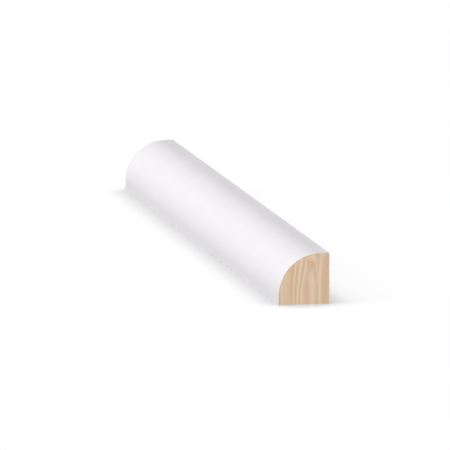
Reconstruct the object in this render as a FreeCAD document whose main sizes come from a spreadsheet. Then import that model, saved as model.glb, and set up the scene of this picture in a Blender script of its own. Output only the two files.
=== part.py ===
import FreeCAD, Part
import os
import Sketcher

# Quarter round moulding: one strip of pine trim, sawn square at both ends.
# It lies on its flat underside (Z = 0) with its flat back towards +X, so the round faces -X and +Z.
# The length runs along Y and the origin is at the middle of the underside.

# Driving sizes in millimetres. The round and the two lands add up to the 3/4 in section.
SIZES = {
    "round_radius": 15.875,
    "top_land": 3.175,
    "front_land": 3.175,
    "arris_radius": 0.25,
    "piece_length": 304.8,
}
NODE = "quarter_round"
POINT_TOLERANCE = 0.001

# Which point of a sketch element a constraint means, and the sketch's own origin.
START = 1
END = 2
SKETCH_ORIGIN = (-1, 1)


def add_sizes(doc):
    sheet = doc.addObject("Spreadsheet::Sheet", "sizes")
    for row, (name, value) in enumerate(SIZES.items(), start=1):
        sheet.set(f"A{row}", name)
        sheet.set(f"B{row}", str(value))
        sheet.setAlias(f"B{row}", name)
    doc.recompute()
    return sheet


def section_corners(sheet):
    """The three sharp corners of the section, in its own plane."""
    half_width = (sheet.round_radius + sheet.top_land) / 2
    height = sheet.round_radius + sheet.front_land
    return {
        "toe": FreeCAD.Vector(-half_width, 0, 0),
        "heel": FreeCAD.Vector(half_width, 0, 0),
        "back_top": FreeCAD.Vector(half_width, height, 0),
    }


def add_section(body, sheet):
    """The end outline: underside, back, top land, round and front land; the round runs into both lands."""
    sketch = body.newObject("Sketcher::SketchObject", "section")
    plane = next(f for f in body.Origin.OriginFeatures if f.Role == "XZ_Plane")
    sketch.AttachmentSupport = [(plane, "")]
    sketch.MapMode = "FlatFace"

    corner = section_corners(sheet)
    land_end = corner["back_top"] - FreeCAD.Vector(sheet.top_land, 0, 0)
    land_top = corner["toe"] + FreeCAD.Vector(0, sheet.front_land, 0)
    centre = FreeCAD.Vector(land_end.x, land_top.y, 0)
    circle = Part.Circle(centre, FreeCAD.Vector(0, 0, 1), sheet.round_radius)
    quarter = Part.ArcOfCircle(circle, circle.parameter(land_end), circle.parameter(land_top))

    underside = sketch.addGeometry(Part.LineSegment(corner["toe"], corner["heel"]))
    back = sketch.addGeometry(Part.LineSegment(corner["heel"], corner["back_top"]))
    top = sketch.addGeometry(Part.LineSegment(corner["back_top"], land_end))
    rounded = sketch.addGeometry(quarter)
    front = sketch.addGeometry(Part.LineSegment(land_top, corner["toe"]))

    sketch.addConstraint([
        Sketcher.Constraint("Coincident", underside, END, back, START),
        Sketcher.Constraint("Coincident", back, END, top, START),
        Sketcher.Constraint("Tangent", top, END, rounded, START),
        Sketcher.Constraint("Tangent", rounded, END, front, START),
        Sketcher.Constraint("Coincident", front, END, underside, START),
        Sketcher.Constraint("Horizontal", underside),
        Sketcher.Constraint("Vertical", back),
        Sketcher.Constraint("Horizontal", top),
        Sketcher.Constraint("Vertical", front),
        Sketcher.Constraint("Symmetric", underside, START, underside, END, *SKETCH_ORIGIN),
    ])
    driven = {
        "round_radius": Sketcher.Constraint("Radius", rounded, sheet.round_radius),
        "top_land": Sketcher.Constraint("Distance", top, sheet.top_land),
        "front_land": Sketcher.Constraint("Distance", front, sheet.front_land),
    }
    for name, constraint in driven.items():
        index = sketch.addConstraint(constraint)
        sketch.renameConstraint(index, name)
        sketch.setExpression(f"Constraints.{name}", f"sizes.{name}")
    return sketch


def long_arrises(shape, sheet):
    """The edges along the strip where two flat faces meet."""
    places = [FreeCAD.Vector(c.x, 0, c.y) for c in section_corners(sheet).values()]
    names = []
    for number, edge in enumerate(shape.Edges, start=1):
        if any(edge.CenterOfMass.isEqual(place, POINT_TOLERANCE) for place in places):
            names.append(f"Edge{number}")
    return names


def add_strip(doc, sheet):
    body = doc.addObject("PartDesign::Body", NODE)
    body.Label = NODE
    section = add_section(body, sheet)

    strip = body.newObject("PartDesign::Pad", "strip")
    strip.Profile = section
    strip.SideType = "Symmetric"
    strip.setExpression("Length", "sizes.piece_length")
    doc.recompute()

    eased = body.newObject("PartDesign::Fillet", "eased_arrises")
    eased.Base = (strip, long_arrises(strip.Shape, sheet))
    eased.setExpression("Radius", "sizes.arris_radius")
    doc.recompute()
    body.Placement = FreeCAD.Placement()
    return body


def check(doc, pieces):
    for thing in doc.Objects:
        if {"Invalid", "Error"} & set(thing.State):
            raise RuntimeError(f"{thing.Label} did not build: {thing.State}")
    for piece in pieces:
        if piece.Shape.isNull() or not piece.Shape.isValid():
            raise RuntimeError(f"{piece.Label} has no valid shape")


def main():
    doc = FreeCAD.newDocument("quarter_round_moulding")
    sheet = add_sizes(doc)
    pieces = [add_strip(doc, sheet)]
    doc.recompute()
    check(doc, pieces)
    os.makedirs("parts", exist_ok=True)
    for piece in pieces:
        piece.Shape.exportStep(f"parts/{piece.Label}.step")
        box = piece.Shape.BoundBox
        print(f"{piece.Label}: {box.XLength:.3f} x {box.YLength:.3f} x {box.ZLength:.3f} mm, "
              f"{piece.Shape.Volume:.0f} mm3")


main()
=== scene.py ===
import math

import bpy
import numpy as np
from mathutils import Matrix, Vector, noise


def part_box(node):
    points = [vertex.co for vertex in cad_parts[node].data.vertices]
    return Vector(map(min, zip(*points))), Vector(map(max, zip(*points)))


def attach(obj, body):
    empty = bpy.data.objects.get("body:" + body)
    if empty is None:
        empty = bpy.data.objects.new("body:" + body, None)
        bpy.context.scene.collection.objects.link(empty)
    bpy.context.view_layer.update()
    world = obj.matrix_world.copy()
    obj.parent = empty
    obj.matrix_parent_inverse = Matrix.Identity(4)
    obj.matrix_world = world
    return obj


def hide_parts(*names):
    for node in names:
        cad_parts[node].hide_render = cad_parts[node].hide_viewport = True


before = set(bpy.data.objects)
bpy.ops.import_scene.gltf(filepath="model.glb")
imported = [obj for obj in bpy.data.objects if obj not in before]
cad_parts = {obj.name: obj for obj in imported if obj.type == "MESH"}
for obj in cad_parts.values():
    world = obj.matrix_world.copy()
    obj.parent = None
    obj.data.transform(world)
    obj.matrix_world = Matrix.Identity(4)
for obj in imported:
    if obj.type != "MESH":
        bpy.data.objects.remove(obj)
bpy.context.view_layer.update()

stripNode = "quarter_round"
onFace = 2e-6  # metres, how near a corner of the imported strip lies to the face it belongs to


# section of the strip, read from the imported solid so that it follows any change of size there
def readSection():
    low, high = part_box(stripNode)
    endPoints = [v.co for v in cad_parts[stripNode].data.vertices if v.co.y < low.y + onFace]
    frontHeights = [p.z for p in endPoints if p.x < low.x + onFace]
    topPlaces = [p.x for p in endPoints if p.z > high.z - onFace]
    return {
        "low": low,
        "high": high,
        "arris": min(frontHeights) - low.z,
        "centre": (min(topPlaces), max(frontHeights)),
        "radius": high.z - max(frontHeights),
    }


section = readSection()
print(f"section: radius {section['radius'] * 1000:.3f} mm, arris {section['arris'] * 1000:.3f} mm")

strip = {
    "sideCells": 128,  # cells along each of the four sides of an end
    "lengthCells": 40,
    "arcPoints": 48,  # points on each arc before the outline is spaced out
    "footEasing": 0.12,  # share of the solid's easing that the two arrises on the floor show
    "sharpAngle": 50,  # degrees; the sawn edges and the foot are sharper than this
    "filmShare": 0.003,  # edge of the primer round each end, as a share of a side
    "softDepth": 0.00003,  # how deep the soft wood sits below the hard streaks, metres
    "fibreDepth": 0.000008,
    "fibreScale": (3000, 500),  # fibres per metre, across and up
    "fibreLayer": 0,  # another value gives other fibres
    "edgeFade": 0.0005,  # the relief dies out this near the edge of an end
    "soakReach": 0.0004,  # how far the primer has crept into the wood round each end
    "mapEdge": 0.01,  # space round each part of the texture map
    "mapEnd": 0.47,  # side of the square that each end takes of the map
}


def arc(x, z, radius, start, stop):
    turn = np.radians(np.linspace(start, stop, strip["arcPoints"]))
    return np.c_[x + radius * np.cos(turn), z + radius * np.sin(turn)]


# marks along a side: even, but for the thin edge of primer at both ends
def sideMarks():
    film = strip["filmShare"]
    return np.r_[0, np.linspace(film, 1 - film, strip["sideCells"] - 1), 1]


def spacedOut(points):
    gone = np.r_[0, np.cumsum(np.hypot(*np.diff(points, axis=0).T))]
    marks = sideMarks() * gone[-1]
    return np.c_[np.interp(marks, gone, points[:, 0]), np.interp(marks, gone, points[:, 1])]


# the outline's four sides, anticlockwise from the near end, split at the middles of its corners
def outlineSides():
    low, high, eased = section["low"], section["high"], section["arris"]
    crisp = eased * strip["footEasing"]
    toe = (low.x + crisp, low.z + crisp, crisp)
    heel = (high.x - crisp, low.z + crisp, crisp)
    backTop = (high.x - eased, high.z - eased, eased)
    rounded = (*section["centre"], section["radius"])
    return {
        "underside": spacedOut(np.vstack([arc(*toe, 225, 270), arc(*heel, 270, 315)])),
        "back": spacedOut(np.vstack([arc(*heel, 315, 360), arc(*backTop, 0, 45)])),
        "top": spacedOut(np.vstack([arc(*backTop, 45, 90), arc(*rounded, 90, 135)])),
        "front": spacedOut(np.vstack([arc(*rounded, 135, 180), arc(*toe, 180, 225)])),
    }


# a grid that fills the outline, each side blended into the opposite one,
# and how far each of its points is from the edge
def endGrid(sides):
    s, t = np.meshgrid(sideMarks(), sideMarks(), indexing="ij")
    fromEdge = np.minimum.reduce([s, t, 1 - s, 1 - t])
    s, t = s[..., None], t[..., None]
    foot, head = sides["underside"][:, None], sides["top"][::-1][:, None]
    left, right = sides["front"][::-1][None], sides["back"][None]
    corners = (  # both blends count these, so they come off once
        (1 - s) * (1 - t) * foot[0] + s * (1 - t) * foot[-1]
        + (1 - s) * t * head[0] + s * t * head[-1]
    )
    return (1 - t) * foot + t * head + (1 - s) * left + s * right - corners, fromEdge


# figure of the sawn ends: upright streaks that lean towards one closed arch.
# Places are shares of the section's width from the front, heights are shares of its height.
figure = {
    "ground": 0.50,  # darkness of plain wood: 0 is the palest early wood, 1 the hardest late wood
    "fade": 0.10,  # height over which a streak begins or ends
    "wander": ((0.005, 5, 2.5), (0.0012, 22, 10)),  # reach, waves across, waves up
    "wanderLayer": 3.0,  # another value gives other waves
    "leanHeights": (0.20, 0.99),  # upright below the first, leaning fully from the second
    "leanSteps": 40,  # steps in which a streak's foot is found
    "lean": (  # place at the foot, how far the streak there leans
        (0.00, 0.000), (0.20, 0.008), (0.25, 0.026), (0.295, 0.054), (0.335, 0.061),
        (0.374, 0.072), (0.413, 0.093), (0.45, 0.113), (0.515, 0.078), (0.575, 0.016),
        (0.62, 0.000), (0.76, 0.000), (0.80, 0.022), (0.86, 0.018), (0.93, 0.000),
    ),
    "streaks": (  # place at the foot, half width, darkness, foot, head
        (0.008, 0.026, 0.80, -0.2, 0.32),
        (0.064, 0.022, -0.42, -0.2, 0.58),
        (0.143, 0.036, -0.23, 0.06, 0.72),
        (0.251, 0.019, 0.41, -0.2, 0.82),
        (0.294, 0.018, -0.37, -0.2, 1.20),
        (0.330, 0.020, 0.37, -0.2, 0.80),
        (0.376, 0.020, -0.54, -0.2, 1.20),
        (0.414, 0.015, 0.35, -0.2, 0.87),
        (0.416, 0.014, 0.16, 0.44, 0.88),
        (0.449, 0.019, -0.58, -0.2, 1.20),
        (0.510, 0.024, 0.08, -0.2, 0.50),
        (0.555, 0.026, 0.40, -0.2, 0.50),
        (0.566, 0.016, 0.12, 0.40, 0.72),
        (0.658, 0.036, -0.46, -0.2, 0.69),
        (0.606, 0.024, -0.30, 0.32, 0.70),
        (0.718, 0.012, 0.18, 0.40, 0.80),
        (0.722, 0.024, 0.12, -0.2, 0.70),
        (0.743, 0.013, -0.24, 0.30, 0.95),
        (0.764, 0.013, 0.36, -0.2, 0.46),
        (0.800, 0.027, -0.52, -0.2, 1.20),
        (0.866, 0.026, 0.28, -0.2, 0.76),
        (0.926, 0.038, 0.44, -0.2, 1.02),
        (0.985, 0.016, 0.12, -0.2, 1.20),
    ),
    "patches": (  # place, height, half width, half height, darkness
        (0.638, 0.782, 0.068, 0.066, 0.28),
        (0.650, 0.715, 0.062, 0.060, 0.10),
        (0.672, 0.890, 0.080, 0.050, -0.33),
        (0.635, 0.952, 0.066, 0.046, -0.40),
        (0.560, 0.905, 0.026, 0.055, 0.30),
        (0.524, 0.868, 0.020, 0.040, 0.12),
        (0.872, 0.945, 0.040, 0.055, -0.14),
        (0.740, 0.080, 0.150, 0.100, 0.09),
    ),
    "patchSquareness": 2.3,  # 2 makes a patch an ellipse, more makes it squarer
    "patchSoftness": 0.40,
    "wedge": (0.781, 0.63, 0.132, 0.38),  # place, foot, spread, darkness
    "wedgePoint": 0.0001,  # half width of the wedge at its foot
    "wedgeSoftness": 0.45,
    "archPlace": 0.641,
    "archSpring": 0.66,  # height where the fine lines begin to close over the arch
    "archSlope": 0.37,
    "archBlend": 0.04,  # half width over which the lines of its two sides pass into each other
}


def noiseAt(x, z, layer):
    return np.array([noise.noise(Vector((a, b, layer))) for a, b in zip(x, z)])


# places as shares of the section's width and height
def shares(x, z):
    low, high = section["low"], section["high"]
    return (x - low.x) / (high.x - low.x), (z - low.z) / (high.z - low.z)


def wandering(u, v):
    moved = u
    for reach, across, upward in figure["wander"]:
        moved = moved + reach * noiseAt(u * across, v * upward, figure["wanderLayer"])
    return moved


# where the streak through each point stands at the underside
def footPlaces(u, v):
    start, stop = figure["leanHeights"]
    rise = np.clip((v - start) / (stop - start), 0, 1)
    leaned = rise * rise * (3 - 2 * rise)  # starts and ends gently
    places, leans = zip(*figure["lean"])
    foot = u
    # nearer at each step, because the lean itself depends on the foot
    for step in range(figure["leanSteps"]):
        foot = (foot + u - np.interp(foot, places, leans) * leaned) / 2
    return foot


# 1 inside a form whose edge is at reach 1, 0 outside it
def inside(reach, softness):
    return np.clip((1 + softness - reach) / (2 * softness), 0, 1)


def figureDarkness(u, v, foot):
    dark = np.full(u.shape, figure["ground"])
    for place, width, tone, start, stop in figure["streaks"]:
        begun = np.clip((v - start) / figure["fade"], 0, 1)
        toEnd = np.clip((stop - v) / figure["fade"], 0, 1)
        dark += tone * (begun * toEnd) * np.exp(-((foot - place) / width) ** 2)
    power = figure["patchSquareness"]
    for place, height, width, tall, tone in figure["patches"]:
        across, upward = np.abs((u - place) / width), np.abs((v - height) / tall)
        reach = (across ** power + upward ** power) ** (1 / power)
        dark += tone * inside(reach, figure["patchSoftness"])
    place, start, spread, tone = figure["wedge"]
    opening = np.maximum((v - start) * spread, figure["wedgePoint"])
    dark += tone * inside(np.abs(u - place) / opening, figure["wedgeSoftness"])
    return np.clip(dark, 0, 1)


# how the fine lines run: distance from the arch's middle, side of it, and height
def grainLines(v, foot):
    over = np.maximum(v - figure["archSpring"], 0) * figure["archSlope"]
    aside = foot - figure["archPlace"]
    side = np.clip(aside / figure["archBlend"], -1, 1)
    return np.stack([np.hypot(aside, over), side, v], axis=-1)


primedFaces, bareFaces = 0, 1  # the strip's two finishes, in their order


# the four corners of each cell of a grid
def cells(grid):
    made = np.stack([grid[:-1, :-1], grid[1:, :-1], grid[1:, 1:], grid[:-1, 1:]], axis=2)
    return made.reshape(-1, *made.shape[2:])


# long faces: their corners, their places in the upper half of the texture map, and their finish
def longFaces(around):
    rows, edge, end = strip["lengthCells"], strip["mapEdge"], strip["mapEnd"]
    row, turn = np.meshgrid(np.arange(rows + 1), np.arange(around + 1), indexing="ij")
    across = edge + (1 - 2 * edge) * row / rows
    upward = 1 - edge - end + end * turn / around
    faces = cells(row * around + turn % around)
    places = cells(np.stack([across, upward], axis=-1))
    return faces, places, np.full(len(faces), primedFaces)


# numbers round the rim of an end's grid, in the outline's order, and -1 inside
def rimNumbers(side):
    numbers = np.full((side + 1, side + 1), -1)
    numbers[:, 0] = np.arange(side + 1)
    numbers[side, :] = np.arange(side, 2 * side + 1)
    numbers[::-1, side] = np.arange(2 * side, 3 * side + 1)
    numbers[0, ::-1] = np.arange(3 * side, 4 * side + 1) % (4 * side)
    return numbers


# one sawn end, bare wood but for the thin edge of primer; its rim is the strip's first or last row
def endFaces(grid, rimStart, insideStart, far):
    side, edge, end = strip["sideCells"], strip["mapEdge"], strip["mapEnd"]
    numbers = rimNumbers(side)
    within = numbers < 0
    numbers += rimStart
    numbers[within] = insideStart + np.arange(within.sum())
    u, v = shares(grid[..., 0], grid[..., 1])
    across = 1 - edge - end * u if far else edge + end * u
    faces, places = cells(numbers), cells(np.stack([across, edge + end * v], axis=-1))
    if far:  # it faces the other way
        faces, places = faces[:, ::-1], places[:, ::-1]
    finishes = np.full((side, side), primedFaces)
    finishes[1:-1, 1:-1] = bareFaces
    return faces, places, finishes.ravel()


def makeStrip():
    low, high = section["low"], section["high"]
    sides = outlineSides()
    outline = np.vstack([side[:-1] for side in sides.values()])
    grid, fromEdge = endGrid(sides)
    within = grid[1:-1, 1:-1].reshape(-1, 2)

    # rows of the outline along the strip, then the points within the near and the far end
    rows = [(outline, y) for y in np.linspace(low.y, high.y, strip["lengthCells"] + 1)]
    ends = [(within, low.y), (within, high.y)]
    points = np.vstack([
        np.c_[flat[:, 0], np.full(len(flat), y), flat[:, 1]] for flat, y in rows + ends
    ])
    around, inRows = len(outline), len(rows) * len(outline)
    edgeGap = np.r_[np.zeros(inRows), np.tile(fromEdge[1:-1, 1:-1].ravel(), 2)] * (high.x - low.x)

    # the figure, and the relief that the saw leaves in it
    u, v = shares(points[:, 0], points[:, 2])
    moved = wandering(u, v)
    foot = footPlaces(moved, v)
    dark = figureDarkness(moved, v, foot)
    fibreAcross, fibreUp = strip["fibreScale"]
    fibre = noiseAt(points[:, 0] * fibreAcross, points[:, 2] * fibreUp, strip["fibreLayer"])
    depth = strip["softDepth"] * (1 - dark) + strip["fibreDepth"] * (1 + fibre)
    depth *= np.clip(edgeGap / strip["edgeFade"], 0, 1)
    points[:, 1] -= np.sign(points[:, 1] - (low.y + high.y) / 2) * depth

    parts = (
        longFaces(around),
        endFaces(grid, 0, inRows, far=False),
        endFaces(grid, inRows - around, inRows + len(within), far=True),
    )
    faces, places, finishes = (np.concatenate(kind) for kind in zip(*parts))
    mesh = bpy.data.meshes.new("quarter_round_strip")
    mesh.from_pydata(points.tolist(), [], faces.tolist())
    mesh.polygons.foreach_set("material_index", finishes)
    mesh.shade_smooth()
    mesh.set_sharp_from_angle(angle=math.radians(strip["sharpAngle"]))
    mesh.uv_layers.new(name="OFBake").data.foreach_set("uv", places.ravel())

    # what the pine finish reads
    soaked = np.clip(1 - edgeGap / strip["soakReach"], 0, 1)
    mesh.attributes.new("figure", "FLOAT", "POINT").data.foreach_set("value", dark)
    mesh.attributes.new("soaked", "FLOAT", "POINT").data.foreach_set("value", soaked)
    grain = grainLines(v, foot).ravel()
    mesh.attributes.new("grain", "FLOAT_VECTOR", "POINT").data.foreach_set("vector", grain)

    made = bpy.data.objects.new("quarter_round_strip", mesh)
    bpy.context.scene.collection.objects.link(made)
    return made


# node helpers shared by the finishes
noiseSpread = (0.3, 0.7)  # most values of a noise texture lie between these


def newFinish(name):
    finish = bpy.data.materials.new(name)
    finish.use_nodes = True
    return finish, finish.node_tree, finish.node_tree.nodes["Principled BSDF"]


def addNoise(tree, source, scale, detail, roughness=0.5):
    made = tree.nodes.new("ShaderNodeTexNoise")
    made.inputs["Scale"].default_value = scale
    made.inputs["Detail"].default_value = detail
    made.inputs["Roughness"].default_value = roughness
    tree.links.new(source, made.inputs["Vector"])
    return made.outputs["Fac"]


def stretched(tree, source, scale):
    made = tree.nodes.new("ShaderNodeMapping")
    made.inputs["Scale"].default_value = scale
    tree.links.new(source, made.inputs["Vector"])
    return made.outputs["Vector"]


def ramp(tree, source, places, colours):
    made = tree.nodes.new("ShaderNodeValToRGB")
    elements = made.color_ramp.elements
    while len(elements) < len(places):
        elements.new(0.5)
    for element, place, colour in zip(elements, places, colours):
        element.position = place
        element.color = (*colour, 1)
    tree.links.new(source, made.inputs["Fac"])
    return made.outputs["Color"]


def span(tree, source, fromRange, toRange, curve="LINEAR"):
    made = tree.nodes.new("ShaderNodeMapRange")
    made.interpolation_type = curve
    made.inputs["From Min"].default_value, made.inputs["From Max"].default_value = fromRange
    made.inputs["To Min"].default_value, made.inputs["To Max"].default_value = toRange
    tree.links.new(source, made.inputs["Value"])
    return made.outputs["Result"]


def combine(tree, operation, first, second, clamp=False):
    made = tree.nodes.new("ShaderNodeMath")
    made.operation = operation
    made.use_clamp = clamp
    tree.links.new(first, made.inputs[0])
    tree.links.new(second, made.inputs[1])
    return made.outputs[0]


def tinted(tree, colour, tint):
    made = tree.nodes.new("ShaderNodeMix")
    made.data_type = "RGBA"
    made.blend_type = "MULTIPLY"
    made.inputs["Factor"].default_value = 1
    tree.links.new(colour, made.inputs["A"])
    tree.links.new(tint, made.inputs["B"])
    return made.outputs["Result"]


def addBump(tree, height, bump, under=None):
    made = tree.nodes.new("ShaderNodeBump")
    made.inputs["Distance"].default_value, made.inputs["Strength"].default_value = bump
    tree.links.new(height, made.inputs["Height"])
    if under:
        tree.links.new(under, made.inputs["Normal"])
    return made.outputs["Normal"]


def meshValue(tree, name, output):
    made = tree.nodes.new("ShaderNodeAttribute")
    made.attribute_name = name
    return made.outputs[output]


# flat white primer of the long faces; each bump is a depth in metres and a strength
primer = {
    "pale": (0.930, 0.909, 0.941),
    "deep": (0.910, 0.892, 0.924),
    "mottleScale": 70,  # patches per metre
    "mottleDetail": 3,
    "knifeScale": 900,  # fine lines that the moulder leaves along the strip
    "knifeDetail": 2,
    "knifeStretch": (1, 0.015, 1),
    "knifeBump": (0.00004, 0.30),
    "toothScale": 3500,  # the primer's own dry tooth
    "toothDetail": 2,
    "toothBump": (0.00003, 0.35),
    "roughness": (0.78, 0.88),
    "shine": 0.04,
}


def primerFinish():
    finish, tree, shader = newFinish("whitePrimer")
    place = tree.nodes.new("ShaderNodeTexCoord").outputs["Object"]
    mottle = addNoise(tree, place, primer["mottleScale"], primer["mottleDetail"])
    along = stretched(tree, place, primer["knifeStretch"])
    knife = addNoise(tree, along, primer["knifeScale"], primer["knifeDetail"])
    tooth = addNoise(tree, place, primer["toothScale"], primer["toothDetail"])
    colour = ramp(tree, mottle, noiseSpread, (primer["deep"], primer["pale"]))
    lines = addBump(tree, knife, primer["knifeBump"])
    tree.links.new(colour, shader.inputs["Base Color"])
    tree.links.new(span(tree, tooth, noiseSpread, primer["roughness"]), shader.inputs["Roughness"])
    tree.links.new(addBump(tree, tooth, primer["toothBump"], lines), shader.inputs["Normal"])
    shader.inputs["Specular IOR Level"].default_value = primer["shine"]
    return finish


# bare pine of the sawn ends; each stretch is over the distance from the arch, its side and the height
pine = {
    "pale": (0.730, 0.586, 0.444),
    "middle": (0.668, 0.499, 0.352),
    "hard": (0.630, 0.422, 0.260),
    "woodStops": (0.0, 0.5, 1.0),
    "lineStretch": (75, 1.2, 1.6),
    "lineDetail": 4,
    "lineRoughness": 0.62,
    "lineDepth": 0.22,  # how much the fine lines lighten and darken the figure
    "lineBump": (0.00002, 0.4),
    "poreStretch": (300, 4, 26),
    "poreDetail": 1,
    "poreStops": (0.24, 0.36),
    "poreColour": (0.82, 0.76, 0.70),
    "poreBump": (0.00003, 0.3),
    "warmScale": 160,  # warmer patches per metre
    "warmDetail": 1,
    "warmStops": (0.40, 0.62),
    "warm": (1.0, 0.975, 0.945),
    "plain": (1.0, 1.0, 1.0),
    "soaked": (0.90, 0.97, 1.12),  # tint of the wood that the primer has crept into
    "soakStops": (0.0, 0.8),
    "roughness": (0.70, 0.86),
    "shine": 0.2,
}


def pineFinish():
    finish, tree, shader = newFinish("sawnPine")
    place = tree.nodes.new("ShaderNodeTexCoord").outputs["Object"]
    grain = meshValue(tree, "grain", "Vector")
    # the stretch alone sets the scale of the lines and the pores
    alongLines = stretched(tree, grain, pine["lineStretch"])
    lines = addNoise(tree, alongLines, 1, pine["lineDetail"], pine["lineRoughness"])
    pores = addNoise(tree, stretched(tree, grain, pine["poreStretch"]), 1, pine["poreDetail"])
    patches = addNoise(tree, place, pine["warmScale"], pine["warmDetail"])
    soaked = meshValue(tree, "soaked", "Fac")

    lineShade = span(tree, lines, noiseSpread, (-pine["lineDepth"], pine["lineDepth"]))
    shade = combine(tree, "ADD", meshValue(tree, "figure", "Fac"), lineShade)
    wood = ramp(tree, shade, pine["woodStops"], (pine["pale"], pine["middle"], pine["hard"]))
    for source, stops, tints in (
        (pores, pine["poreStops"], (pine["poreColour"], pine["plain"])),
        (patches, pine["warmStops"], (pine["plain"], pine["warm"])),
        (soaked, pine["soakStops"], (pine["plain"], pine["soaked"])),
    ):
        wood = tinted(tree, wood, ramp(tree, source, stops, tints))

    ridges = addBump(tree, lines, pine["lineBump"])
    tree.links.new(wood, shader.inputs["Base Color"])
    tree.links.new(span(tree, lines, noiseSpread, pine["roughness"]), shader.inputs["Roughness"])
    tree.links.new(addBump(tree, pores, pine["poreBump"], ridges), shader.inputs["Normal"])
    shader.inputs["Specular IOR Level"].default_value = pine["shine"]
    return finish


piece = makeStrip()
for finish in (primerFinish(), pineFinish()):
    piece.data.materials.append(finish)
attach(piece, "root")
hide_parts(stripNode)
print(f"strip: {len(piece.data.polygons)} faces, finishes {[m.name for m in piece.data.materials]}")

# studio: one broad key from the round's side, and soft fills for the ends and the back
studio = {
    "sky": 0.065,  # light from all round; 1 renders a white card white
    "lamps": {  # where each stands, how bright it is on a card that faces it, how wide it looks
        "key": {"azimuth": -90, "elevation": 40.8, "level": 0.902, "spread": 55},
        "nearFill": {"azimuth": -2, "elevation": 2, "level": 0.796, "spread": 4},
        "farFill": {"azimuth": 160, "elevation": 1.5, "level": 0.66, "spread": 3},
        "backFill": {"azimuth": 93, "elevation": 1.5, "level": 0.54, "spread": 3},
    },
    "floorColour": 0.16,
    "floorSize": 14.0,  # metres
    "floorDrop": 0.00001,  # keeps the floor clear of the underside
    "contactReach": 0.013,  # how far the painted contact shade reaches round the strip, metres
    "contactOpen": (0.55, 1.0),  # shares of open sky between which that painted shade fades
    "contactLeft": 0.67,  # how much of the floor's glow is left at the strip's foot, where the painted shade is deepest
}


def outFrom(azimuth, elevation):
    a, e = math.radians(azimuth), math.radians(elevation)
    return Vector((math.sin(a) * math.cos(e), -math.cos(a) * math.cos(e), math.sin(e)))


def addLamps():
    for name, lamp in studio["lamps"].items():
        light = bpy.data.lights.new(name, "SUN")
        light.energy = lamp["level"] * math.pi  # pi lights a card that faces the lamp to 1
        light.angle = math.radians(lamp["spread"])
        holder = bpy.data.objects.new(name, light)
        holder.rotation_mode = "QUATERNION"
        out = outFrom(lamp["azimuth"], lamp["elevation"])
        holder.rotation_quaternion = out.to_track_quat("Z", "Y")
        bpy.context.scene.collection.objects.link(holder)


# 1 for rays from the camera, and for those that gloss or glass sends on
def seenRays(tree):
    rays = tree.nodes.new("ShaderNodeLightPath").outputs
    seen = rays["Is Camera Ray"]
    for name in ("Is Glossy Ray", "Is Transmission Ray"):
        seen = combine(tree, "ADD", seen, rays[name], clamp=True)
    return seen


# matt floor; a glow for the camera makes up what it lacks of white, and is dimmed round the strip's
# foot as painted contact shade
def floorFinish():
    finish, tree, shader = newFinish("paleFloor")
    tree.nodes.remove(shader)
    grey = studio["floorColour"]
    matt = tree.nodes.new("ShaderNodeBsdfDiffuse")
    matt.inputs["Color"].default_value = (grey, grey, grey, 1)
    lit = studio["sky"]
    for lamp in studio["lamps"].values():
        lit += lamp["level"] * math.sin(math.radians(lamp["elevation"]))
    lacking = 1 - grey * lit
    # painted contact shade: the glow seen by the camera dims where the strip hides the sky from the
    # floor, darkest at its foot
    contact = tree.nodes.new("ShaderNodeAmbientOcclusion")
    contact.inputs["Distance"].default_value = studio["contactReach"]
    shaded = (lacking * studio["contactLeft"], lacking)
    paintedContactShade = span(tree, contact.outputs["AO"], studio["contactOpen"], shaded, "SMOOTHSTEP")
    glow = tree.nodes.new("ShaderNodeEmission")
    tree.links.new(combine(tree, "MULTIPLY", seenRays(tree), paintedContactShade), glow.inputs["Strength"])
    both = tree.nodes.new("ShaderNodeAddShader")
    tree.links.new(matt.outputs[0], both.inputs[0])
    tree.links.new(glow.outputs[0], both.inputs[1])
    tree.links.new(both.outputs[0], tree.nodes["Material Output"].inputs["Surface"])
    return finish


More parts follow.
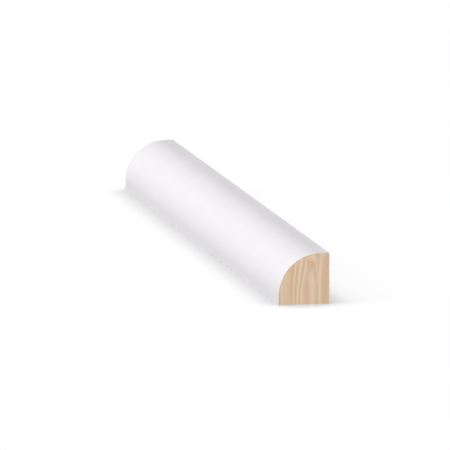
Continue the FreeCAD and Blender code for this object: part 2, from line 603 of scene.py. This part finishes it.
def addFloor():
    half = studio["floorSize"] / 2
    z = section["low"].z - studio["floorDrop"]
    corners = [(-half, -half, z), (half, -half, z), (half, half, z), (-half, half, z)]
    mesh = bpy.data.meshes.new("studio_floor")
    mesh.from_pydata(corners, [], [(0, 1, 2, 3)])
    mesh.materials.append(floorFinish())
    floor = bpy.data.objects.new("studio_floor", mesh)
    bpy.context.scene.collection.objects.link(floor)


def addSky():
    world = bpy.data.worlds.new("studioSky")
    bpy.context.scene.world = world
    world.use_nodes = True
    tree = world.node_tree
    light = tree.nodes["Background"]
    light.inputs["Color"].default_value = (1, 1, 1, 1)
    light.inputs["Strength"].default_value = studio["sky"]
    white = tree.nodes.new("ShaderNodeBackground")
    white.inputs["Color"].default_value = (1, 1, 1, 1)
    choice = tree.nodes.new("ShaderNodeMixShader")
    tree.links.new(seenRays(tree), choice.inputs["Fac"])
    tree.links.new(light.outputs[0], choice.inputs[1])
    tree.links.new(white.outputs[0], choice.inputs[2])
    tree.links.new(choice.outputs[0], tree.nodes["World Output"].inputs["Surface"])


photoView = {
    "azimuth": -11.03,  # degrees, 0 is square to the near end
    "elevation": 8.33,
    "distance": 4.766,  # metres
    "frameWidth": 0.16998,  # width of the picture at the middle of the strip, metres
    "aimRight": 0.00023,  # the picture's middle, from the middle of the strip
    "aimUp": -0.00188,
    "sensor": 36.0,  # millimetres, as the lens is
    "clip": (0.05, 30.0),
}


def addCamera():
    data = bpy.data.cameras.new("photoCamera")
    data.sensor_width = photoView["sensor"]
    data.lens = photoView["sensor"] * photoView["distance"] / photoView["frameWidth"]
    data.clip_start, data.clip_end = photoView["clip"]
    camera = bpy.data.objects.new("photoCamera", data)
    out = outFrom(photoView["azimuth"], photoView["elevation"])
    turn = out.to_track_quat("Z", "Y")
    aim = (section["low"] + section["high"]) / 2
    aim += turn @ Vector((photoView["aimRight"], photoView["aimUp"], 0))
    camera.location = aim + out * photoView["distance"]
    camera.rotation_mode = "QUATERNION"
    camera.rotation_quaternion = turn
    bpy.context.scene.collection.objects.link(camera)
    bpy.context.scene.camera = camera


addLamps()
addFloor()
addSky()
addCamera()
bpy.context.scene.view_settings.view_transform = "Standard"
print("studio: lamps, floor, sky and camera set")
